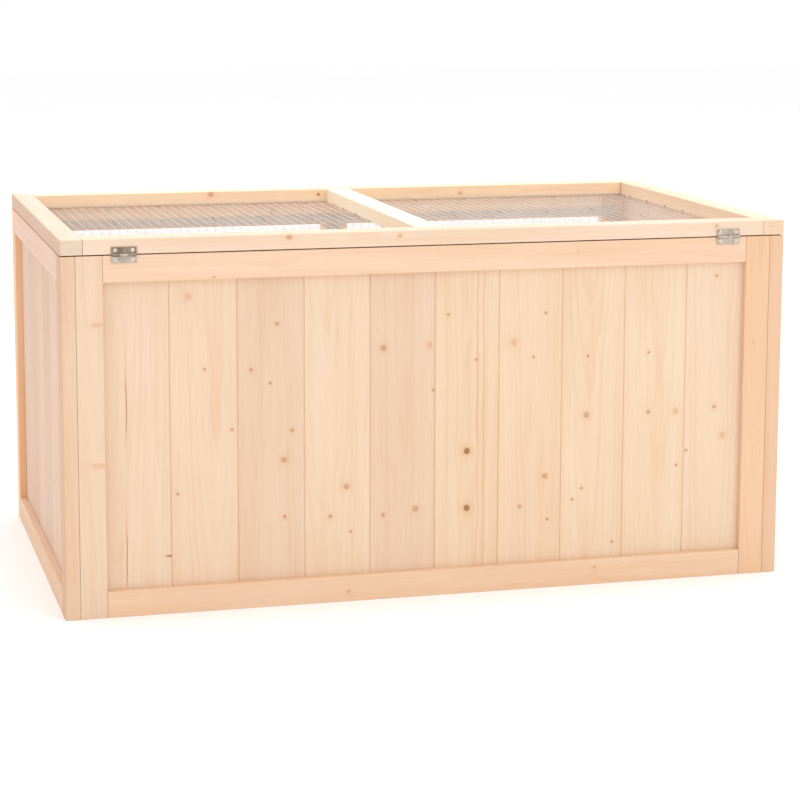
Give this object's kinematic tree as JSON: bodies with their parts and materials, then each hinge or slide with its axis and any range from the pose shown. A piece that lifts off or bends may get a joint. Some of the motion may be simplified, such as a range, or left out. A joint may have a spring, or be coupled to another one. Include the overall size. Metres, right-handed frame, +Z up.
{
  "type": "rabbit hutch",
  "caption": "Low box-shaped rabbit hutch of bare fir: framed tongue-and-groove board walls, a wire-mesh front and a hinged flat lid with mesh windows.",
  "frame": {"origin": "middle of the case's footprint, on the surface it stands on; the box of the whole part is centred there but for the hinges, which stand 4 mm proud of the rear wall", "axes": "+X along the hutch, +Y from the hinge side towards the mesh front, +Z up"},
  "size_m": [1, 0.6039, 0.5],
  "materials": {
    "frame_wood": "matte",
    "board_wood": "matte",
    "lid_wood": "matte",
    "floor_plywood": "matte",
    "wire_mesh": "satin",
    "hinge_steel": "satin"
  },
  "bodies": {
    "hutch": {"floor_panel": "floor_plywood", "front_bottom_rail": "frame_wood", "front_centre_stile": "frame_wood", "front_left_stile": "frame_wood", "front_mesh_left": "wire_mesh", "front_mesh_right": "wire_mesh", "front_right_stile": "frame_wood", "front_top_rail": "frame_wood", "hinge_left_pin": "hinge_steel", "hinge_left_wall_leaf": "hinge_steel", "hinge_right_pin": "hinge_steel", "hinge_right_wall_leaf": "hinge_steel", "left_board_1": "board_wood", "left_board_2": "board_wood", "left_board_3": "board_wood", "left_board_4": "board_wood", "left_board_5": "board_wood", "left_board_6": "board_wood", "left_bottom_rail": "frame_wood", "left_front_stile": "frame_wood", "left_rear_stile": "frame_wood", "left_top_rail": "frame_wood", "rear_board_1": "board_wood", "rear_board_10": "board_wood", "rear_board_2": "board_wood", "rear_board_3": "board_wood", "rear_board_4": "board_wood", "rear_board_5": "board_wood", "rear_board_6": "board_wood", "rear_board_7": "board_wood", "rear_board_8": "board_wood", "rear_board_9": "board_wood", "rear_bottom_rail": "frame_wood", "rear_left_stile": "frame_wood", "rear_right_stile": "frame_wood", "rear_top_rail": "frame_wood", "right_board_1": "board_wood", "right_board_2": "board_wood", "right_board_3": "board_wood", "right_board_4": "board_wood", "right_board_5": "board_wood", "right_board_6": "board_wood", "right_bottom_rail": "frame_wood", "right_front_stile": "frame_wood", "right_rear_stile": "frame_wood", "right_top_rail": "frame_wood"},
    "lid": {"hinge_left_lid_leaf": "hinge_steel", "hinge_right_lid_leaf": "hinge_steel", "lid_centre_bar": "lid_wood", "lid_front_rail": "lid_wood", "lid_left_rail": "lid_wood", "lid_mesh_left": "wire_mesh", "lid_mesh_right": "wire_mesh", "lid_rear_rail": "lid_wood", "lid_right_rail": "lid_wood"}
  },
  "joints": [
    {"name": "lid_hinge", "type": "hinge", "parent": "hutch", "child": "lid", "pos_m": [0, -0.3021, 0.47925], "axis": [1, 0, 0], "range_deg": [0, 175]}
  ]
}
